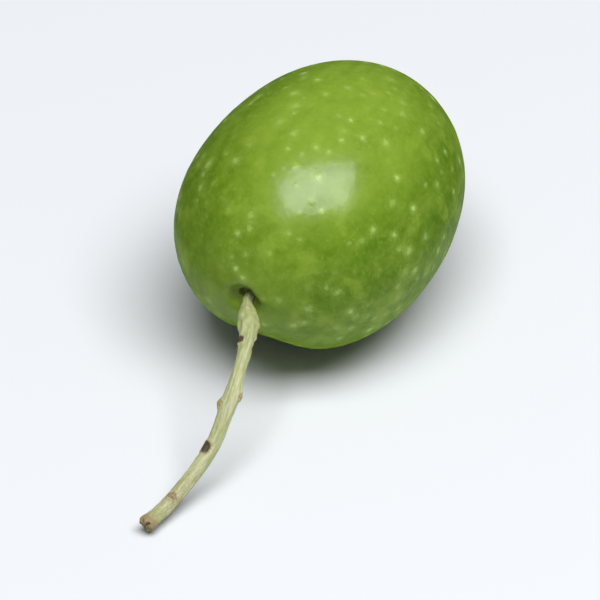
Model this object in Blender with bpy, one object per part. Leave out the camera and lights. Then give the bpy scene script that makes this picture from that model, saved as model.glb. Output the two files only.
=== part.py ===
# A green olive as picked: one plump fruit lying on its side, with the cut end of its fruiting stem.
# Frame: the fruit's long axis runs along Y with the stem end towards -Y, and +Z is up.
# The origin is on the small flat spot that the fruit rests on, under the fruit's middle.

import math

import bmesh
import bpy
from mathutils import Quaternion, Vector

MM = 0.001

# The fruit's driving sizes.
FRUIT_LENGTH = 25.6 * MM
FRUIT_WIDTH = 19.6 * MM
REST_HEIGHT = 9.65 * MM  # from the surface up to the fruit's middle
BLUNTNESS = 0.006  # fills out both ends, so that the side view is a little fuller than an ellipse
STEM_END_FULLNESS = 0.013  # the half by the stem is the fatter one
POLE_SHIFT = Vector((0.1, 0.0, -0.3)) * MM  # the stem end sits a little low

# The fruit isn't truly round: one cheek by the stem is fuller, and a shallow dent runs down from the stem.
# Each is (direction from the middle, share of the radius, spread).
SWELLS = (
    (Vector((-0.84, -0.54, 0.0)), 0.060, 0.16),
    (Vector((0.02, -0.79, -0.61)), -0.075, 0.058),
)

# The small raised point where the flower's style was.
TIP_HEIGHT = 0.45 * MM
TIP_RADIUS = 0.9 * MM

# The hollow that the stem comes out of: a funnel, then a plain socket round the stem's foot.
FUNNEL_RADIUS = 1.9 * MM
FUNNEL_DEPTH = 0.7 * MM
SOCKET_RADIUS = 0.95 * MM
SOCKET_DEPTH = 1.9 * MM
LIP_HEIGHT = 0.1 * MM

# The stem's middle line, from the fruit's stem pole: out along -Y, aside, then down to the surface.
STEM_ROUTE = [
    Vector(point) * MM
    for point in (
        (0.0, 1.55, 0.0),
        (0.25, 0.25, -0.1),
        (1.75, -2.35, -0.75),
        (2.7, -5.9, -2.3),
        (2.9, -8.1, -4.0),
        (2.75, -10.2, -5.85),
        (1.8, -13.9, -7.95),
        (1.2, -16.6, -8.4),
    )
]
# Stem radius at shares of its length: foot, neck, knuckle, waist, joint, shank, cut end.
STEM_RADII = (
    (0.0, 0.58 * MM),
    (0.065, 0.50 * MM),
    (0.145, 0.84 * MM),
    (0.25, 0.52 * MM),
    (0.33, 0.47 * MM),
    (0.46, 0.60 * MM),
    (0.56, 0.55 * MM),
    (0.94, 0.56 * MM),
    (1.0, 0.64 * MM),
)
# Stubs left by fallen bracts and side stalks: share of the length, way it faces, height, half length.
FACING_LEFT = Vector((-0.87, -0.48, 0.1))
FACING_RIGHT = Vector((0.87, 0.48, 0.1))
FACING_UP = Vector((0.1, -0.4, 0.9))
STUBS = (
    (0.235, FACING_LEFT, 0.16 * MM, 0.36 * MM),
    (0.438, FACING_RIGHT, 0.28 * MM, 0.40 * MM),
    (0.482, FACING_LEFT, 0.32 * MM, 0.45 * MM),
    (0.645, FACING_LEFT, 0.20 * MM, 0.45 * MM),
    (0.86, FACING_UP, 0.16 * MM, 0.42 * MM),
)
STUB_SHARPNESS = 5

# Finishes: glossy yellow-green skin and dull pale bark.
SKIN_COLOR = (0.19, 0.33, 0.03)
SKIN_ROUGHNESS = 0.3
BARK_COLOR = (0.50, 0.52, 0.24)
BARK_ROUGHNESS = 0.6

# Facets.
FRUIT_STEPS = 64
BODY_RINGS = 40
FUNNEL_RINGS = 5
STEM_RINGS = 64
STEM_SIDES = 16
SHARP_ANGLE = math.radians(40)
MERGE_DISTANCE = 0.001 * MM
HALVINGS = 40


def clear_scene():
    for obj in list(bpy.data.objects):
        bpy.data.objects.remove(obj)


def make_material(name, color, roughness):
    material = bpy.data.materials.new(name)
    material.use_nodes = True
    shader = material.node_tree.nodes["Principled BSDF"]
    shader.inputs["Base Color"].default_value = (*color, 1.0)
    shader.inputs["Roughness"].default_value = roughness
    shader.inputs["Metallic"].default_value = 0.0
    return material


def add_object(name, bm, material):
    mesh = bpy.data.meshes.new(name)
    bm.to_mesh(mesh)
    bm.free()
    mesh.materials.append(material)
    mesh.shade_smooth()
    mesh.set_sharp_from_angle(angle=SHARP_ANGLE)
    obj = bpy.data.objects.new(name, mesh)
    bpy.context.scene.collection.objects.link(obj)
    return obj


def body_point(angle):
    # The side view from the stem pole (angle 0) to the tip (angle pi), as (radius, place along Y).
    radius = FRUIT_WIDTH / 2 / (1 - BLUNTNESS) * (
        math.sin(angle)
        + STEM_END_FULLNESS * math.sin(2 * angle)
        + BLUNTNESS * math.sin(3 * angle)
    )
    along = -FRUIT_LENGTH / 2 * math.cos(angle)
    if angle > math.pi / 2:
        along += TIP_HEIGHT * math.exp(-((radius / TIP_RADIUS) ** 2))
    return radius, along


def funnel_drop(radius):
    # How far the skin dips below the plain body at this distance from the stem pole.
    share = (radius - SOCKET_RADIUS) / (FUNNEL_RADIUS - SOCKET_RADIUS)
    return FUNNEL_DEPTH * math.cos(math.pi / 2 * share) ** 2 - LIP_HEIGHT * math.sin(math.pi * share) ** 2


def pole_angle(radius):
    # The angle at which the plain body has this radius, close to the stem pole.
    low, high = 0.0, math.pi / 4
    for _ in range(HALVINGS):
        middle = (low + high) / 2
        if body_point(middle)[0] < radius:
            low = middle
        else:
            high = middle
    return high


def fruit_profile():
    # Half the fruit's outline: socket floor, socket wall, funnel, body, tip.
    pole = -FRUIT_LENGTH / 2
    points = [(0.0, pole + SOCKET_DEPTH), (SOCKET_RADIUS, pole + SOCKET_DEPTH)]
    for ring in range(FUNNEL_RINGS):
        radius = SOCKET_RADIUS + (FUNNEL_RADIUS - SOCKET_RADIUS) * ring / FUNNEL_RINGS
        along = body_point(pole_angle(radius))[1]
        points.append((radius, along + funnel_drop(radius)))
    start = pole_angle(FUNNEL_RADIUS)
    for ring in range(BODY_RINGS + 1):
        points.append(body_point(start + (math.pi - start) * ring / BODY_RINGS))
    points[-1] = (0.0, points[-1][1])
    return points


def natural_shape(point):
    # Adds the swells, then lowers the stem end.
    direction = Vector((
        point.x / (FRUIT_WIDTH / 2),
        point.y / (FRUIT_LENGTH / 2),
        point.z / (FRUIT_WIDTH / 2),
    )).normalized()
    swell = sum(
        height * math.exp((direction.dot(facing.normalized()) - 1) / spread)
        for facing, height, spread in SWELLS
    )
    stem_share = min(1.0, max(0.0, 0.5 - point.y / FRUIT_LENGTH))
    return point * (1 + swell) + POLE_SHIFT * stem_share ** 2


def build_fruit(material):
    # Turn the half outline round Y, make it natural, then cut the flat spot it rests on.
    bm = bmesh.new()
    points = [bm.verts.new((radius, along, 0.0)) for radius, along in fruit_profile()]
    edges = [bm.edges.new(pair) for pair in zip(points, points[1:])]
    bmesh.ops.spin(
        bm, geom=points + edges, cent=(0, 0, 0), axis=(0, 1, 0),
        angle=2 * math.pi, steps=FRUIT_STEPS, use_merge=True,
    )
    bmesh.ops.remove_doubles(bm, verts=bm.verts, dist=MERGE_DISTANCE)
    for vert in bm.verts:
        vert.co = natural_shape(vert.co)
    bmesh.ops.bisect_plane(
        bm, geom=bm.verts[:] + bm.edges[:] + bm.faces[:], dist=MERGE_DISTANCE,
        plane_co=(0, 0, -REST_HEIGHT), plane_no=(0, 0, -1), clear_outer=True,
    )
    rim = [edge for edge in bm.edges if edge.is_boundary]
    bmesh.ops.edgeloop_fill(bm, edges=rim)
    bmesh.ops.recalc_face_normals(bm, faces=bm.faces)
    fruit = add_object("fruit", bm, material)
    fruit.location.z = REST_HEIGHT
    return fruit


def smooth_route(points, rings):
    # A Catmull-Rom curve through the points, read at even steps along it.
    padded = [2 * points[0] - points[1], *points, 2 * points[-1] - points[-2]]
    fine = []
    for index in range(1, len(padded) - 2):
        before, start, end, after = padded[index - 1:index + 3]
        for step in range(rings):
            u = step / rings
            fine.append(0.5 * (
                2 * start + (end - before) * u
                + (2 * before - 5 * start + 4 * end - after) * u ** 2
                + (3 * start - before - 3 * end + after) * u ** 3
            ))
    fine.append(points[-1])
    reach = [0.0]
    for here, there in zip(fine, fine[1:]):
        reach.append(reach[-1] + (there - here).length)
    route = []
    segment = 0
    for ring in range(rings + 1):
        target = reach[-1] * ring / rings
        while segment < len(fine) - 2 and reach[segment + 1] < target:
            segment += 1
        share = (target - reach[segment]) / (reach[segment + 1] - reach[segment])
        route.append(fine[segment].lerp(fine[segment + 1], share))
    return route, reach[-1]


def stem_radius(share):
    # Eased between the listed radii.
    for (start, from_radius), (end, to_radius) in zip(STEM_RADII, STEM_RADII[1:]):
        if share <= end:
            ease = 0.5 - 0.5 * math.cos(math.pi * (share - start) / (end - start))
            return from_radius + (to_radius - from_radius) * ease
    return STEM_RADII[-1][1]


def stub_height(share, length, outward):
    # How far the stubs lift the bark at this place and in this direction.
    lift = 0.0
    for place, facing, height, half_length in STUBS:
        towards = max(0.0, outward.dot(facing.normalized()))
        away = (share - place) * length / half_length
        lift += height * towards ** STUB_SHARPNESS * math.exp(-away ** 2)
    return lift


def build_stem(material):
    # A ring of bark at each step of the route, bridged to the next, with both ends closed.
    route, length = smooth_route(STEM_ROUTE, STEM_RINGS)
    bm = bmesh.new()
    heading = (route[1] - route[0]).normalized()
    side = heading.orthogonal().normalized()
    loops = []
    for ring, middle in enumerate(route):
        ahead = route[min(ring + 1, STEM_RINGS)] - route[max(ring - 1, 0)]
        side.rotate(heading.rotation_difference(ahead.normalized()))
        heading = ahead.normalized()
        share = ring / STEM_RINGS
        loop = []
        for corner in range(STEM_SIDES):
            outward = side.copy()
            outward.rotate(Quaternion(heading, 2 * math.pi * corner / STEM_SIDES))
            radius = stem_radius(share) + stub_height(share, length, outward)
            loop.append(bm.verts.new(middle + outward * radius))
        loops.append([
            bm.edges.new((loop[corner], loop[(corner + 1) % STEM_SIDES]))
            for corner in range(STEM_SIDES)
        ])
        if ring:
            bmesh.ops.bridge_loops(bm, edges=loops[-2] + loops[-1])
    for loop in (loops[0], loops[-1]):
        bmesh.ops.edgeloop_fill(bm, edges=loop)
    bmesh.ops.recalc_face_normals(bm, faces=bm.faces)
    return add_object("stem", bm, material)


def main():
    clear_scene()
    fruit = build_fruit(make_material("fruit_skin", SKIN_COLOR, SKIN_ROUGHNESS))
    stem = build_stem(make_material("stem_bark", BARK_COLOR, BARK_ROUGHNESS))
    stem.parent = fruit
    stem.location = POLE_SHIFT + Vector((0, -FRUIT_LENGTH / 2, 0))


main()
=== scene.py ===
import bpy
import numpy as np
from mathutils import Matrix, Vector


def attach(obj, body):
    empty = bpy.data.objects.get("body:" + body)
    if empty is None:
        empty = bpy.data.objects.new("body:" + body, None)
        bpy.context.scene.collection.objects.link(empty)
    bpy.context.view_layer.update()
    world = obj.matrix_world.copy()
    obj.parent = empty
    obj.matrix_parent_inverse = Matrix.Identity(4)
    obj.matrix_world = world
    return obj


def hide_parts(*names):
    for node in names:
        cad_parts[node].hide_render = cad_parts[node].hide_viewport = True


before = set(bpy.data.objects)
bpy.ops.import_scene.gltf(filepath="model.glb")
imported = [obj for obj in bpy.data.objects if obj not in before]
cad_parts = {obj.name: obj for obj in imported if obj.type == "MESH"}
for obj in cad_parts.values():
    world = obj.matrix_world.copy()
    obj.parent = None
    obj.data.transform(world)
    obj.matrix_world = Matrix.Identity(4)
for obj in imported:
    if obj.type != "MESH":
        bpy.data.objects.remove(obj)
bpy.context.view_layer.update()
mm = 0.001  # metres


def unit(vectors):
    # each vector over its own length
    vectors = np.asarray(vectors, float)
    return vectors / np.linalg.norm(vectors, axis=-1, keepdims=True)


def smooth(low, high, values):
    # the smooth step from 0 at low to 1 at high
    share = np.clip((values - low) / (high - low), 0, 1)
    return share * share * (3 - 2 * share)


def ripples(points, wavelength, seed, waves=28):
    # a sum of sine waves in seeded directions, all close to one wavelength, from about -1 to 1
    rng = np.random.default_rng(seed)
    facing = unit(rng.normal(size=(waves, 3)))
    pace = 2 * np.pi / (wavelength * rng.uniform(0.8, 1.3, waves))
    phase = rng.uniform(0, 2 * np.pi, waves)
    return np.sin(points @ (facing * pace[:, None]).T + phase).sum(-1) / np.sqrt(waves / 2) / 2


def addSurface(name, rings, firstPole, lastPole, attributes):
    # rings is rows x columns x 3, closed round each row, and a fan to a pole closes each end;
    # an attribute has a value or a vector for each ring point, and a pole gets its row's mean
    rows, columns = rings.shape[:2]
    points = np.vstack([rings.reshape(-1, 3), firstPole, lastPole])
    here = np.arange(rows * columns).reshape(rows, columns)
    beside = np.roll(here, -1, axis=1)
    quads = np.stack([here[:-1], here[1:], beside[1:], beside[:-1]], -1).reshape(-1, 4)
    first = np.stack([np.full(columns, rows * columns), here[0], beside[0]], -1)
    last = np.stack([np.full(columns, rows * columns + 1), beside[-1], here[-1]], -1)
    mesh = bpy.data.meshes.new(name)
    mesh.from_pydata(points.tolist(), [], quads.tolist() + first.tolist() + last.tolist())
    for key, values in attributes.items():
        kind = "FLOAT" if values.ndim == 2 else "FLOAT_VECTOR"
        flat = values.reshape(rows * columns, -1)
        ends = [values[row].reshape(columns, -1).mean(0) for row in (0, -1)]
        whole = np.vstack([flat, *ends]).astype(np.float32)
        data = mesh.attributes.new(key, kind, "POINT").data
        data.foreach_set("value" if kind == "FLOAT" else "vector", whole.ravel())
    mesh.shade_smooth()
    piece = bpy.data.objects.new(name, mesh)
    bpy.context.scene.collection.objects.link(piece)
    return piece


# The fruit: its form, as the frame has it, then its pores, its greens and its gloss.
fruitSettings = {
    "length": 25.6 * mm,
    "width": 19.6 * mm,
    "restHeight": 9.65 * mm,
    "bluntness": 0.006,
    "stemEndFullness": 0.013,
    "poleShift": np.array([0.1, 0.0, -0.3]) * mm,
    # way, height as a share of the radius, and spread
    "swells": [([-0.84, -0.54, 0.0], 0.060, 0.16), ([0.02, -0.79, -0.61], -0.075, 0.058)],
    "tipHeight": 0.45 * mm,
    "tipRadius": 0.9 * mm,
    "funnelRadius": 1.9 * mm,
    "funnelDepth": 0.7 * mm,
    "lipHeight": 0.1 * mm,
    "creviceRadius": 0.62 * mm,
    "creviceWall": 0.20 * mm,
    "creviceBrim": 0.05 * mm,  # how far its wall's rounding spreads over the funnel
    "creviceDepth": 0.4 * mm,  # further down than the funnel
    "creviceShift": np.array([-0.06, 0.0, 0.26]) * mm,  # the stem leans on its lower edge
    # count, size and turn of the folds round the hollow, and of the waves in its outline
    "puckers": [(5, 0.035 * mm, 0.6), (8, 0.022 * mm, 2.1), (13, 0.010 * mm, 0.3)],
    "hollowWaves": [(2, 0.10, 0.6), (3, 0.07, 2.0), (7, 0.04, 0.0)],
    "around": 440,
    "hollowRings": (6, 14, 16),  # on the crevice's floor, up its wall and over the funnel
    "bodyRings": 180,
    "seatSoftness": 0.05 * mm,  # rounds the edge of the flat spot
    "unevenness": [(8.0 * mm, 0.035 * mm, 20), (3.2 * mm, 0.009 * mm, 21)],  # wavelength, height, seed
    # the paler, yellower top is partly the fruit's own sunned side and partly painted light from above
    "sunnyAndLitSide": (0.18, -0.12, 0.97),  # the paler side faces this way
    "sunnyAndLitEdge": (0.58, 1.0),  # cosines at which it starts and is full
    "tipSpot": (0.05 * mm, 1.1 * mm),  # full and gone this far from the tip
    "stemRing": (1.2 * mm, 7.0 * mm),  # full and gone this far from the stem
    "dotSeed": 11,
    "dotTries": 2200,
    "dotSpacing": 0.85 * mm,
    "dotShare": (0.56, 0.50),  # how many of them stay, and how much that changes over the skin
    "dotRadius": (0.22 * mm, 0.48 * mm),
    "dotRelief": 0.014 * mm,
    "clusterSeed": 278,
    "clusterSize": 5 * mm,
    "faintSeed": 3,
    "faintPatch": 9 * mm,  # size of the patches in which the pores are fainter
    "deepGreen": (0.054, 0.117, 0.002, 1),
    "freshGreen": (0.085, 0.159, 0.004, 1),
    "paleGreen": (0.182, 0.272, 0.028, 1),
    "sunnyAndLitGreen": (0.140, 0.224, 0.018, 1),
    "dotGreen": (0.285, 0.405, 0.098, 1),
    "creviceGreen": (0.085, 0.115, 0.022, 1),
    "tipBrown": (0.105, 0.080, 0.028, 1),
    # how big the markings in the green are, and how strong
    "patchSize": 7 * mm,
    "cloudSize": 2.4 * mm,
    "streakSize": 1.6 * mm,
    "streakStretch": (1, 0.22, 1),  # draws the streaks out along the fruit
    "mottleSize": 0.75 * mm,
    "fleckSize": 0.30 * mm,
    "raggedSize": 0.22 * mm,  # of the uneven edges of the pores and the tip's speck
    "sunnyAndLitShare": 0.85,
    "cloudShares": (0.52, 0.42),  # pale, deep
    "streakShare": 0.36,
    "mottleShare": 0.26,
    "fleckShare": 0.24,
    "stemRingShare": 0.25,
    "hollowShare": 0.40,
    "tipRingShare": 0.5,
    "roughness": 0.40,
    "gloss": (0.205, 0.30),  # over the fruit, and by the stem
    "glossIor": 2.0,
    "glossRoughness": 0.225,
    "grain": (0.28 * mm, 0.012 * mm),  # size and depth of the finest relief
    "ripple": (1.1 * mm, 0.028 * mm),  # and of the gloss's own
    "poreDepth": (0.012 * mm, 0.006 * mm),  # in the skin, and in the gloss
    "flesh": (0.12, (0.8, 1.0, 0.25), 1.2 * mm),  # weight, reach of red, green and blue, scale
}


def fruitSideView(angle):
    # radius and place along Y for the angle from the stem pole, 0, to the tip, pi:
    # a sine, with a little of its second and third harmonics, and a small point at the tip
    blunt = fruitSettings["bluntness"]
    radius = fruitSettings["width"] / 2 / (1 - blunt) * (
        np.sin(angle) + fruitSettings["stemEndFullness"] * np.sin(2 * angle) + blunt * np.sin(3 * angle)
    )
    along = -fruitSettings["length"] / 2 * np.cos(angle)
    point = fruitSettings["tipHeight"] * np.exp(-((radius / fruitSettings["tipRadius"]) ** 2))
    return radius, along + np.where(angle > np.pi / 2, point, 0)


def hollowDrop(radius):
    # a cosine-squared funnel with a low lip, then a steep wall down to the crevice's floor
    funnel, crevice = fruitSettings["funnelRadius"], fruitSettings["creviceRadius"]
    share = np.clip((radius - crevice) / (funnel - crevice), 0, 1)
    drop = fruitSettings["funnelDepth"] * np.cos(np.pi / 2 * share) ** 2
    drop -= fruitSettings["lipHeight"] * np.sin(np.pi * share) ** 2
    wallTop = crevice + fruitSettings["creviceBrim"]
    wall = 1 - smooth(crevice - fruitSettings["creviceWall"], wallTop, radius)
    return drop + fruitSettings["creviceDepth"] * wall


def skinPuckers(radius, turn):
    # low waves round the hollow, as folds that run out from the crevice and die away
    crevice, funnel = fruitSettings["creviceRadius"], fruitSettings["funnelRadius"]
    waves = sum(
        height * np.cos(count * turn + shift)
        for count, height, shift in fruitSettings["puckers"]
    )
    rise = smooth(0.6 * crevice, 1.2 * crevice, radius)
    fall = 1 - smooth(crevice, 1.5 * funnel, radius)
    return waves * rise * fall


def fruitRings():
    # half the side view, hollow first and then the body, turned round Y; round the hollow the rings
    # are waved, and they shift towards where the stem stands
    table = np.linspace(0, np.pi / 3, 4000)
    tableRadius, tableAlong = fruitSideView(table)
    crevice, funnel = fruitSettings["creviceRadius"], fruitSettings["funnelRadius"]
    edges = (0.2 * crevice, 0.78 * crevice, 1.1 * crevice, funnel)
    inner = np.concatenate([
        np.linspace(low, high, count)[:-1]
        for low, high, count in zip(edges, edges[1:], fruitSettings["hollowRings"])
    ])
    innerAlong = np.interp(inner, tableRadius, tableAlong) + hollowDrop(inner)
    start = np.interp(funnel, tableRadius, table)
    angle = np.linspace(start, np.pi, fruitSettings["bodyRings"] + 1)[:-1]
    bodyRadius, bodyAlong = fruitSideView(angle)
    radius = np.concatenate([inner, bodyRadius])[:, None]
    along = np.concatenate([innerAlong, bodyAlong])[:, None]
    turn = np.linspace(0, 2 * np.pi, fruitSettings["around"], endpoint=False)[None, :]
    stemEnd = along < 0
    depth = np.where(stemEnd, hollowDrop(radius) / fruitSettings["funnelDepth"], 0)
    depth = depth.clip(0, None) + 0 * turn
    along = along + np.where(stemEnd, skinPuckers(radius, turn), 0)
    fade = 1 - smooth(0.5 * crevice, 1.6 * funnel, radius)
    waves = sum(
        size * np.cos(count * turn + shift)
        for count, size, shift in fruitSettings["hollowWaves"]
    )
    radius = radius * (1 + fade * waves)
    rings = np.stack([radius * np.cos(turn), along, radius * np.sin(turn)], -1)
    return rings + fade[..., None] * fruitSettings["creviceShift"] * stemEnd[..., None], depth


def fruitNatural(points):
    # each point is pushed out or in by the swells, then the stem end sinks a little
    size = np.array([fruitSettings["width"], fruitSettings["length"], fruitSettings["width"]]) / 2
    facing = unit(points / size)
    swell = sum(
        height * np.exp((facing @ unit(way) - 1) / spread)
        for way, height, spread in fruitSettings["swells"]
    )
    nearStem = (0.5 - points[..., 1] / fruitSettings["length"]).clip(0, 1)
    return points * (1 + swell)[..., None] + fruitSettings["poleShift"] * nearStem[..., None] ** 2


def skinDots(points):
    # pale pores: seeded tries on the skin, each kept unless an earlier one is closer than the spacing
    # or its part of the skin has few; gives each point its way and its distance from the nearest kept
    # pore, in pore radii, and that pore's own tone
    rng = np.random.default_rng(fruitSettings["dotSeed"])
    tries = points.reshape(-1, 3)
    weight = np.repeat(np.linalg.norm(points[..., [0, 2]], axis=-1).mean(1), points.shape[1])
    tries = tries[rng.choice(len(tries), fruitSettings["dotTries"], p=weight / weight.sum())]
    gap = np.linalg.norm(tries[:, None] - tries[None], axis=-1)
    crowded = (np.tril(gap < fruitSettings["dotSpacing"], -1)).any(1)
    share, change = fruitSettings["dotShare"]
    cluster = ripples(tries, fruitSettings["clusterSize"], fruitSettings["clusterSeed"])
    scarce = rng.random(len(tries)) > share + change * cluster
    centres = tries[~crowded & ~scarce]
    low, high = fruitSettings["dotRadius"]
    radii = low + (high - low) * rng.random(len(centres)) ** 1.6
    faintness = ripples(centres, fruitSettings["faintPatch"], fruitSettings["faintSeed"])
    faint = (0.72 + 0.4 * faintness).clip(0.2, 1)
    tones = (0.25 + 0.75 * rng.random(len(centres)) ** 1.3) * faint
    flat = points.reshape(-1, 3)
    squares = (flat ** 2).sum(1)[:, None] + (centres ** 2).sum(1) - 2 * flat @ centres.T
    nearest = (np.sqrt(squares.clip(0, None)) / radii).argmin(1)
    away = (flat - centres[nearest]) / radii[nearest, None]
    print("pores on the skin:", len(centres))
    reach = np.linalg.norm(away, axis=-1)
    grid = points.shape[:2]
    return away.reshape(points.shape), reach.reshape(grid), tones[nearest].reshape(grid)


def makeFruit():
    # the rings, made natural, with unevenness and pores pushed out along the skin's own facing, then
    # raised to rest and pressed flat by a soft maximum of the height and the floor
    rings, depth = fruitRings()
    points = fruitNatural(rings)
    size = np.array([fruitSettings["width"], fruitSettings["length"], fruitSettings["width"]])
    outward = unit(rings / size ** 2)
    skinOnly = 1 - smooth(0.0, 0.4, depth)
    for wavelength, height, seed in fruitSettings["unevenness"]:
        lift = height * ripples(points, wavelength, seed) * skinOnly
        points = points + outward * lift[..., None]
    away, reach, tone = skinDots(points)
    raised = 1 - smooth(0.3, 1.2, reach)
    points += outward * (fruitSettings["dotRelief"] * raised * skinOnly)[..., None]
    points[..., 2] += fruitSettings["restHeight"]
    soft = fruitSettings["seatSoftness"]
    points[..., 2] = (points[..., 2] + np.sqrt(points[..., 2] ** 2 + soft ** 2)) / 2
    tip = points[-1].mean(0)
    nearTip = 1 - smooth(*fruitSettings["tipSpot"], np.linalg.norm(points - tip, axis=-1))
    pole = points[0].mean(0)
    nearStem = 1 - smooth(*fruitSettings["stemRing"], np.linalg.norm(points - pole, axis=-1))
    # paler towards the top: partly the fruit's sunned side, partly painted light from above
    sunnyAndLit = smooth(*fruitSettings["sunnyAndLitEdge"], outward @ unit(fruitSettings["sunnyAndLitSide"]))
    return addSurface("oliveFruit", points, pole, tip, {
        "fromDot": away, "dotReach": reach, "dotTone": tone, "hollow": depth, "nearTip": nearTip,
        "nearStem": nearStem, "sunnyAndLit": sunnyAndLit,
    })


# The stem: its route and thickness, its buds and scars, then the finish of its bark.
stemSettings = {
    "route": [
        (0.0, 1.55, 0.0), (0.25, 0.25, -0.1), (1.75, -2.35, -0.75), (2.7, -5.9, -2.3),
        (2.9, -8.1, -4.0), (2.75, -10.2, -5.85), (1.8, -13.9, -7.95), (1.2, -16.6, -8.4),
    ],  # mm from the fruit's stem pole
    "radii": [
        (0.0, 0.36), (0.05, 0.36), (0.145, 0.79), (0.25, 0.52), (0.33, 0.47),
        (0.46, 0.60), (0.56, 0.55), (0.94, 0.56), (1.0, 0.64),
    ],  # share of the length, mm
    "stubs": [
        (0.235, (-0.66, -0.70, 0.27), 0.16, 0.40, 0.85),
        (0.438, (0.87, 0.48, 0.1), 0.28, 0.40, 0.35),
        (0.482, (-0.87, -0.48, 0.1), 0.32, 0.45, 0.35),
        (0.648, (-0.40, -0.80, 0.45), 0.20, 0.72, 1.0),
        (0.86, (0.1, -0.4, 0.9), 0.16, 0.42, 0.5),
    ],  # share of the length, way it faces, height and half length in mm, how brown its scar is
    "stubSharpness": 5,
    "scarRim": 0.05,  # mm, and the dent inside it
    "scarDent": 0.07,
    # count and height of the long ribs
    "ribs": [(5, 0.014 * mm), (9, 0.010 * mm), (14, 0.006 * mm)],
    # height along the stem and added at the knuckle, its place and spread in shares of the length
    "knobs": (0.014 * mm, 0.075 * mm, 0.185, 0.080),
    "knobSize": 0.60 * mm,
    "knobSeed": 5,
    "endBulge": 0.12 * mm,
    "tornSeed": 8,
    "tornHeight": 0.16 * mm,
    "tornSize": 0.35 * mm,
    "around": 72,
    "rings": 460,
    "endRings": 14,
    "paleBark": (0.405, 0.397, 0.245, 1),
    "greenBark": (0.245, 0.270, 0.099, 1),
    "dryBark": (0.224, 0.168, 0.078, 1),
    "scarBrown": (0.050, 0.040, 0.017, 1),
    "knuckle": (0.15, 0.11),  # place and spread in shares of the length
    "knuckleGreenAndShadeShare": 0.8,  # how green and dark it is: its own greener bark, and painted shade from the fruit beside it
    "drying": [(0.58, 0.85, 0.42), (0.965, 1.0, 0.58)],  # start, end, how much it adds
    "fibreScale": 3.2,  # fibres to one radius of the stem
    "fibreDepth": 0.05 * mm,
    "fleckSize": 0.22 * mm,
    "fleckShare": 0.25,
    "raggedSize": 0.14 * mm,
    "pits": (0.1 * mm, 0.012 * mm),  # size and depth
    "roughness": 0.55,
    "wood": (0.1, (1.0, 0.9, 0.4), 0.4 * mm),  # weight, reach of red, green and blue, scale
}


def curveThrough(points, steps):
    # a Catmull-Rom curve through the points, then read at even steps along it
    padded = np.vstack([2 * points[0] - points[1], points, 2 * points[-1] - points[-2]])
    before, start, end, after = (padded[k:len(padded) - 3 + k, None] for k in range(4))
    u = np.linspace(0, 1, 80, endpoint=False)[None, :, None]
    fine = 0.5 * (
        2 * start + (end - before) * u + (2 * before - 5 * start + 4 * end - after) * u ** 2
        + (3 * start - before - 3 * end + after) * u ** 3
    )
    fine = np.vstack([fine.reshape(-1, 3), points[-1]])
    reach = np.concatenate([[0], np.linalg.norm(np.diff(fine, axis=0), axis=1).cumsum()])
    even = np.linspace(0, reach[-1], steps)
    return np.stack([np.interp(even, reach, fine[:, k]) for k in range(3)], -1), reach[-1]


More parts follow.
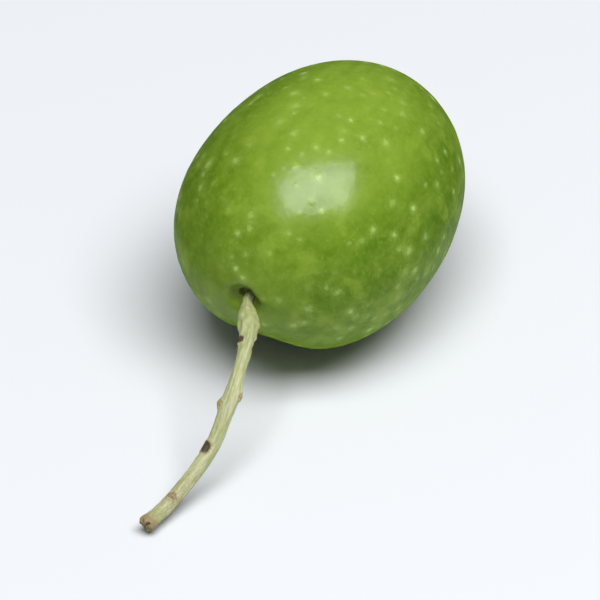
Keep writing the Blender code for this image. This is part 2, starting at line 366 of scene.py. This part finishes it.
def makeStem():
    # the radius at each share of the length, eased between the given ones by a cosine, with stubs,
    # scars and ribs added, carried round the route
    pole = np.array([0, -fruitSettings["length"] / 2, fruitSettings["restHeight"]])
    pole = pole + fruitSettings["poleShift"]
    middle, length = curveThrough(np.array(stemSettings["route"]) * mm + pole, stemSettings["rings"])
    heading = unit(np.gradient(middle, axis=0))
    side = unit(np.array([1, 0, 0]) - heading * heading[:, :1])
    over = np.cross(side, heading)  # so that the faces look outward
    turn = np.linspace(0, 2 * np.pi, stemSettings["around"], endpoint=False)[None, :]
    outward = side[:, None] * np.cos(turn)[..., None] + over[:, None] * np.sin(turn)[..., None]
    share = np.linspace(0, 1, stemSettings["rings"])
    places, radii = np.array(stemSettings["radii"]).T
    step = np.clip(np.searchsorted(places, share, side="right") - 1, 0, len(places) - 2)
    ease = 0.5 - 0.5 * np.cos(np.pi * (share - places[step]) / (places[step + 1] - places[step]))
    radius = (radii[step] + (radii[step + 1] - radii[step]) * ease)[:, None] * mm + 0 * turn
    scar = np.zeros_like(radius)
    for place, way, height, halfLength, brown in stemSettings["stubs"]:
        # a bump that dies away round the stem and along it, with a rim round a dented scar
        towards = (outward @ unit(way)).clip(0, 1)
        away = (share[:, None] - place) * length / (halfLength * mm)
        radius += height * mm * towards ** stemSettings["stubSharpness"] * np.exp(-away ** 2)
        mark = towards ** 2 * np.exp(-away ** 2)
        rim = smooth(0.30, 0.42, mark) * (1 - smooth(0.46, 0.62, mark))
        dent = smooth(0.50, 0.80, mark)
        radius += brown * mm * (stemSettings["scarRim"] * rim - stemSettings["scarDent"] * dent)
        scar = np.maximum(scar, brown * smooth(0.20, 0.80, mark))
    run = share[:, None] * length
    for index, (count, height) in enumerate(stemSettings["ribs"]):
        drift = 0.9 * np.sin(run / (3.1 * mm) + index * 2) + 0.5 * np.sin(run / (1.3 * mm) + index)
        radius += height * np.cos(count * turn + drift)
    bark = middle[:, None] + outward * radius[..., None]
    evenly, extra, middlePlace, spread = stemSettings["knobs"]
    knobs = evenly + extra * np.exp(-((share[:, None] - middlePlace) / spread) ** 2)
    knobs = knobs * ripples(bark, stemSettings["knobSize"], stemSettings["knobSeed"])
    bark += outward * knobs[..., None]
    # the broken end: rings that close in, torn into short fibres
    close = np.linspace(0, 1, stemSettings["endRings"] + 1)[1:, None]
    rim = bark[-1] - middle[-1]
    torn = ripples(bark[-1], stemSettings["tornSize"], stemSettings["tornSeed"])[None, :]
    torn = torn * stemSettings["tornHeight"]
    raised = torn * np.sin(np.pi * close * 0.9) + stemSettings["endBulge"] * np.sin(close * np.pi / 2)
    lids = middle[-1] + rim[None] * np.cos(close * np.pi / 2 * 0.97)[..., None] ** 0.7
    lids = lids + heading[-1] * raised[..., None]
    rings = np.concatenate([bark, lids])
    # what the bark's finish reads: scars, dryness, a grain that follows the stem, and the knuckle
    drying = sum(amount * smooth(start, end, share) for start, end, amount in stemSettings["drying"])
    dry = np.concatenate([drying[:, None] + 0 * turn, 1 + 0 * close + 0 * turn])
    scar = np.concatenate([scar, 0 * close + 0 * turn])
    runAll = np.concatenate([run + 0 * turn, length + 0.4 * mm * close + 0 * turn])
    turnAll = np.repeat(turn, len(rings), axis=0)
    grain = np.stack([np.cos(turnAll), np.sin(turnAll), runAll / (4 * mm)], -1)
    # where the knuckle's greener, darker bark goes, which is partly painted shade from the fruit
    middlePlace, spread = stemSettings["knuckle"]
    knuckle = np.exp(-((runAll / length - middlePlace) / spread) ** 2)
    return addSurface("oliveStem", rings, rings[0].mean(0), rings[-1].mean(0), {
        "scar": scar, "dry": dry, "grain": grain, "knuckle": knuckle,
    })


def node(tree, kind, inputs=None, **settings):
    # a shader node with its settings; an input is a value, or another node's output to link
    made = tree.nodes.new("ShaderNode" + kind)
    for key, value in settings.items():
        setattr(made, key, value)
    for key, value in (inputs or {}).items():
        if isinstance(value, bpy.types.NodeSocket):
            tree.links.new(value, made.inputs[key])
        else:
            made.inputs[key].default_value = value
    return made


def newMaterial(name):
    # a material with its node tree and its Principled shader
    material = bpy.data.materials.new(name)
    material.use_nodes = True
    tree = material.node_tree
    return material, tree, tree.nodes["Principled BSDF"]


def attributeOf(tree, name, output="Fac"):
    # what addSurface stored at each point of the mesh
    return node(tree, "Attribute", attribute_name=name).outputs[output]


def noiseOf(tree, place, size, detail=3.0, roughness=0.5):
    # a noise whose lumps are about the given size
    return node(tree, "TexNoise", {
        "Vector": place, "Scale": 1 / size, "Detail": detail, "Roughness": roughness,
    }).outputs["Fac"]


def stepOf(tree, value, low, high, start=0.0, end=1.0):
    # the smooth step from start at low to end at high
    return node(tree, "MapRange", {
        "Value": value, "From Min": low, "From Max": high, "To Min": start, "To Max": end,
    }, interpolation_type="SMOOTHSTEP").outputs[0]


def mathOf(tree, operation, first, second):
    return node(tree, "Math", {0: first, 1: second}, operation=operation).outputs[0]


def mixOf(tree, share, first, second):
    return node(tree, "Mix", {0: share, 6: first, 7: second}, data_type="RGBA").outputs[2]


def reliefOf(tree, height, depth, strength, under=None):
    # fine relief of the given depth, laid over another relief if there is one
    inputs = {"Height": height, "Distance": depth, "Strength": strength}
    if under is not None:
        inputs["Normal"] = under
    return node(tree, "Bump", inputs).outputs[0]


def glowThrough(shader, weight, reach, scale):
    # light that enters and comes out again a little way off
    shader.inputs["Subsurface Weight"].default_value = weight
    shader.inputs["Subsurface Radius"].default_value = reach
    shader.inputs["Subsurface Scale"].default_value = scale


def skinMaterial():
    # deep green with fresh patches and a paler top, which is partly painted light from above, then
    # clouds, streaks, mottle and flecks, then the pale pores, the hollow and the tip
    look = fruitSettings
    material, tree, shader = newMaterial("oliveSkin")
    place = node(tree, "TexCoord").outputs["Object"]
    stretched = node(tree, "Mapping", {"Vector": place, "Scale": look["streakStretch"]}).outputs[0]
    patches = stepOf(tree, noiseOf(tree, place, look["patchSize"]), 0.3, 0.7)
    clouds = noiseOf(tree, place, look["cloudSize"], 4, 0.6)
    streaks = stepOf(tree, noiseOf(tree, stretched, look["streakSize"], 4, 0.6), 0.42, 0.75)
    mottle = stepOf(tree, noiseOf(tree, place, look["mottleSize"], 3, 0.6), 0.3, 0.75)
    flecks = noiseOf(tree, place, look["fleckSize"], 2)
    sunnyAndLit = attributeOf(tree, "sunnyAndLit")
    nearStem = attributeOf(tree, "nearStem")
    paleCloud, deepCloud = look["cloudShares"]
    # the paler top picks the fresh and the sunny green: partly painted light from above
    color = mixOf(tree, mathOf(tree, "MAXIMUM", patches, sunnyAndLit), look["deepGreen"], look["freshGreen"])
    color = mixOf(tree, mathOf(tree, "MULTIPLY", sunnyAndLit, look["sunnyAndLitShare"]), color, look["sunnyAndLitGreen"])
    color = mixOf(tree, stepOf(tree, clouds, 0.50, 0.70, 0, paleCloud), color, look["paleGreen"])
    color = mixOf(tree, stepOf(tree, clouds, 0.48, 0.28, 0, deepCloud), color, look["deepGreen"])
    for share in (
        mathOf(tree, "MULTIPLY", streaks, look["streakShare"]),
        mathOf(tree, "MULTIPLY", mottle, look["mottleShare"]),
        stepOf(tree, flecks, 0.58, 0.72, 0, look["fleckShare"]),
        mathOf(tree, "MULTIPLY", nearStem, look["stemRingShare"]),
    ):
        color = mixOf(tree, share, color, look["paleGreen"])
    # the way from a pore's middle keeps it round, and the distance takes over where two pores meet
    fromDot = node(tree, "VectorMath", {0: attributeOf(tree, "fromDot", "Vector")}, operation="LENGTH")
    farther = mathOf(tree, "SUBTRACT", attributeOf(tree, "dotReach"), 0.4)
    ragged = stepOf(tree, noiseOf(tree, place, look["raggedSize"], 3, 0.6), 0.25, 0.75, -0.30, 0.30)
    reach = mathOf(tree, "ADD", mathOf(tree, "MAXIMUM", fromDot.outputs["Value"], farther), ragged)
    core = stepOf(tree, reach, 0.15, 1.20, 1, 0)
    halo = stepOf(tree, reach, 0.5, 2.2, 0.28, 0)
    dots = mathOf(tree, "MULTIPLY", mathOf(tree, "MAXIMUM", core, halo), attributeOf(tree, "dotTone"))
    color = mixOf(tree, dots, color, look["dotGreen"])
    # the hollow's sides, then its floor
    depth = attributeOf(tree, "hollow")
    sides = stepOf(tree, depth, 0.10, 0.85, 0, look["hollowShare"])
    bottom = stepOf(tree, depth, 0.85, 1.45)
    color = mixOf(tree, sides, color, look["creviceGreen"])
    color = mixOf(tree, bottom, color, look["creviceGreen"])
    # a paler ring round the tip, then its dry speck
    tip = mathOf(tree, "ADD", attributeOf(tree, "nearTip"), mathOf(tree, "MULTIPLY", ragged, 0.35))
    dryTip = stepOf(tree, tip, 0.86, 1.05)
    color = mixOf(tree, stepOf(tree, tip, 0.35, 0.95, 0, look["tipRingShare"]), color, look["paleGreen"])
    color = mixOf(tree, dryTip, color, look["tipBrown"])
    tree.links.new(color, shader.inputs["Base Color"])
    # the hollow's sides are duller than the skin, and its floor and the tip are matt
    dull = stepOf(tree, depth, 0.05, 0.60, 0, 0.40)
    matt = mathOf(tree, "MAXIMUM", mathOf(tree, "MAXIMUM", bottom, dryTip), dull)
    rough = mathOf(tree, "ADD", mathOf(tree, "MULTIPLY", mottle, 0.08), look["roughness"] - 0.04)
    rough = mathOf(tree, "MAXIMUM", rough, mathOf(tree, "MULTIPLY", matt, 0.8))
    tree.links.new(rough, shader.inputs["Roughness"])
    shader.inputs["Specular IOR Level"].default_value = 0.0  # the gloss alone shines
    glowThrough(shader, *look["flesh"])
    gloss = stepOf(tree, nearStem, 0, 1, *look["gloss"])
    shiny = mathOf(tree, "SUBTRACT", 1.0, mathOf(tree, "MULTIPLY", matt, 0.9))
    tree.links.new(mathOf(tree, "MULTIPLY", gloss, shiny), shader.inputs["Coat Weight"])
    shader.inputs["Coat Roughness"].default_value = look["glossRoughness"]
    shader.inputs["Coat IOR"].default_value = look["glossIor"]
    # the gloss flows over the finest grain, so it has a relief of its own
    grainSize, grainDepth = look["grain"]
    rippleSize, rippleDepth = look["ripple"]
    skinPore, glossPore = look["poreDepth"]
    grain = reliefOf(tree, noiseOf(tree, place, grainSize, 4, 0.6), grainDepth, 1.0)
    ripple = reliefOf(tree, noiseOf(tree, place, rippleSize, 3, 0.55), rippleDepth, 1.0)
    tree.links.new(reliefOf(tree, core, skinPore, 0.8, grain), shader.inputs["Normal"])
    tree.links.new(reliefOf(tree, core, glossPore, 0.6, ripple), shader.inputs["Coat Normal"])
    return material


def barkMaterial():
    # green bark under paler fibres that run along it, greener and darker at the knuckle, partly as
    # painted shade from the fruit beside it, brown at the scars and drier towards the broken end
    look = stemSettings
    material, tree, shader = newMaterial("stemBark")
    place = node(tree, "TexCoord").outputs["Object"]
    fibres = noiseOf(tree, attributeOf(tree, "grain", "Vector"), 1 / look["fibreScale"], 5, 0.65)
    flecks = stepOf(tree, noiseOf(tree, place, look["fleckSize"], 3, 0.6), 0.62, 0.78)
    ragged = stepOf(tree, noiseOf(tree, place, look["raggedSize"], 3, 0.6), 0.25, 0.75, -0.22, 0.22)
    # the knuckle's greener, darker bark: partly its own colour, partly painted shade from the fruit
    knuckleGreenAndShade = mathOf(tree, "MULTIPLY", attributeOf(tree, "knuckle"), look["knuckleGreenAndShadeShare"])
    scar = mathOf(tree, "ADD", attributeOf(tree, "scar"), ragged)
    dry = mathOf(tree, "ADD", attributeOf(tree, "dry"), ragged)
    color = mixOf(tree, stepOf(tree, fibres, 0.35, 0.68), look["greenBark"], look["paleBark"])
    color = mixOf(tree, mathOf(tree, "MULTIPLY", flecks, look["fleckShare"]), color, look["dryBark"])
    color = mixOf(tree, knuckleGreenAndShade, color, look["greenBark"])
    color = mixOf(tree, stepOf(tree, scar, 0.12, 0.42), color, look["dryBark"])
    color = mixOf(tree, stepOf(tree, scar, 0.42, 0.72), color, look["scarBrown"])
    color = mixOf(tree, stepOf(tree, dry, 0.2, 0.9), color, look["dryBark"])
    tree.links.new(color, shader.inputs["Base Color"])
    shader.inputs["Roughness"].default_value = look["roughness"]
    shader.inputs["Specular IOR Level"].default_value = 0.35
    glowThrough(shader, *look["wood"])
    pitSize, pitDepth = look["pits"]
    coarse = reliefOf(tree, fibres, look["fibreDepth"], 0.9)
    fine = reliefOf(tree, noiseOf(tree, place, pitSize, 3, 0.6), pitDepth, 0.8, coarse)
    tree.links.new(fine, shader.inputs["Normal"])
    return material


# The camera, which stands as the photograph's did.
view = {
    "azimuth": 28.9,
    "elevation": 40.0,
    "distance": 500 * mm,
    "aside": -1.88 * mm,  # from the fruit's middle to the middle of the picture
    "above": -7.28 * mm,
    "frameWidth": 45.0 * mm,
}


def aim(thing, towards, upward):
    # turns a camera or a lamp so that its -Z points along towards and its Y leans upward
    back = -unit(towards)
    right = unit(np.cross(upward, back))
    top = np.cross(back, right)
    turned = np.eye(4)
    turned[:3, :3] = np.stack([right, top, back], 1)
    thing.matrix_world = Matrix(turned)


def viewAxes():
    # the picture's own right and up, and the way to the camera
    azimuth, elevation = np.radians(view["azimuth"]), np.radians(view["elevation"])
    right = np.array([np.cos(azimuth), np.sin(azimuth), 0])
    toCamera = np.array([
        np.sin(azimuth) * np.cos(elevation), -np.cos(azimuth) * np.cos(elevation), np.sin(elevation),
    ])
    return right, np.cross(toCamera, right), toCamera


# The studio: a softbox above and towards the camera, a broad glow from the ceiling over it, and a
# backdrop that is lit at its foot; ways are from the fruit, in the picture's (right, up, towards
# the camera).
studio = {
    "softboxWay": (0.155, 0.695, 1.0),
    "softboxSize": (0.60, 0.325),
    "softboxDistance": 0.6,
    "softboxPower": 7.0,
    "softboxColor": (0.975, 0.98, 1.015),
    "glowWay": (0.20, 0.90, 1.0),
    "glowEdge": (-0.2, 0.98),  # cosines at which the glow starts and is full
    "glow": (0.045, 0.23),  # strength of the room away from the glow, and at its middle
    "backdropFoot": 0.15,  # strength added at the horizon
    "backdropTop": 0.40,  # sine of the height at which it has died away
    "roomColor": (0.97, 0.99, 1.0, 1),
    "floorColor": (0.540, 0.553, 0.558, 1),
    "floorBounce": (0.84, 0.85, 0.855, 1),  # its colour for the light that it throws back up
    "floorMirrored": (0.120, 0.145, 0.070, 1),  # and for the gloss that mirrors it from a way off
    "mirroredFrom": (12 * mm, 32 * mm),  # distances at which that colour starts and is full
    "floorWidth": 4.0,
}
fruitMiddle = np.array([0, 0, fruitSettings["restHeight"]])


def fromPicture(way):
    # turns a way in the picture's (right, up, towards the camera) into the frame's own
    return unit(sum(share * axis for share, axis in zip(way, viewAxes())))


def makeFloor():
    # a matt floor, which is paler to the light that bounces off it, so the fruit is lit from below,
    # and dimmer a little way off to the gloss that mirrors it, so the fruit's sides stay deep green
    bpy.ops.mesh.primitive_plane_add(size=studio["floorWidth"], location=(0, 0, 0))
    floor = bpy.context.object
    floor.name = "floor"
    material, tree, shader = newMaterial("floorPaint")
    ray = node(tree, "LightPath").outputs
    color = mixOf(tree, ray["Is Diffuse Ray"], studio["floorColor"], studio["floorBounce"])
    place = node(tree, "TexCoord").outputs["Object"]
    away = node(tree, "VectorMath", {0: place}, operation="LENGTH").outputs["Value"]
    afar = stepOf(tree, away, *studio["mirroredFrom"])
    mirrored = mathOf(tree, "MULTIPLY", ray["Is Glossy Ray"], afar)
    color = mixOf(tree, mirrored, color, studio["floorMirrored"])
    tree.links.new(color, shader.inputs["Base Color"])
    shader.inputs["Roughness"].default_value = 0.6
    shader.inputs["Specular IOR Level"].default_value = 0.2
    floor.data.materials.append(material)


def makeRoom():
    # the room's light rises smoothly towards the way of the glow, and down the backdrop to its foot;
    # the camera itself sees it pale all over
    world = bpy.data.worlds.new("studio")
    bpy.context.scene.world = world
    world.use_nodes = True
    tree = world.node_tree
    way = node(tree, "TexCoord").outputs["Generated"]
    glowWay = fromPicture(studio["glowWay"])
    towards = node(tree, "VectorMath", {0: way, 1: glowWay}, operation="DOT_PRODUCT").outputs["Value"]
    glow = stepOf(tree, towards, *studio["glowEdge"], *studio["glow"])
    height = node(tree, "SeparateXYZ", {0: way}).outputs["Z"]
    foot = stepOf(tree, height, 0, studio["backdropTop"], studio["backdropFoot"], 0)
    seen = node(tree, "LightPath").outputs["Is Camera Ray"]
    background = tree.nodes["Background"]
    background.inputs["Color"].default_value = studio["roomColor"]
    lit = mathOf(tree, "ADD", glow, foot)
    tree.links.new(mathOf(tree, "MAXIMUM", lit, seen), background.inputs["Strength"])


def makeLamp():
    # the softbox faces the fruit, with its top edge level in the picture
    data = bpy.data.lights.new("softbox", "AREA")
    data.shape = "RECTANGLE"
    data.size, data.size_y = studio["softboxSize"]
    data.energy = studio["softboxPower"]
    data.color = studio["softboxColor"]
    lamp = bpy.data.objects.new("softbox", data)
    bpy.context.scene.collection.objects.link(lamp)
    way = fromPicture(studio["softboxWay"])
    aim(lamp, -way, viewAxes()[1])
    lamp.location = Vector(fruitMiddle + way * studio["softboxDistance"])


def makeCamera():
    # a long lens that takes in the frame's width at the fruit's distance
    right, up, toCamera = viewAxes()
    data = bpy.data.cameras.new("camera")
    data.sensor_width = 36
    data.lens = data.sensor_width * view["distance"] / view["frameWidth"]
    data.clip_start = 0.01
    camera = bpy.data.objects.new("camera", data)
    bpy.context.scene.collection.objects.link(camera)
    aim(camera, -toCamera, up)
    lookedAt = fruitMiddle + right * view["aside"] + up * view["above"]
    camera.location = Vector(lookedAt + toCamera * view["distance"])
    bpy.context.scene.camera = camera


fruit = makeFruit()
fruit.data.materials.append(skinMaterial())
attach(fruit, "root")
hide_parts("fruit")
print("fruit made:", len(fruit.data.polygons), "faces")

stem = makeStem()
stem.data.materials.append(barkMaterial())
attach(stem, "root")
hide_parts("stem")
print("stem made:", len(stem.data.polygons), "faces")

makeFloor()
makeRoom()
makeLamp()
makeCamera()
bpy.context.scene.view_settings.view_transform = "Standard"
print("floor, lights and camera are in place")
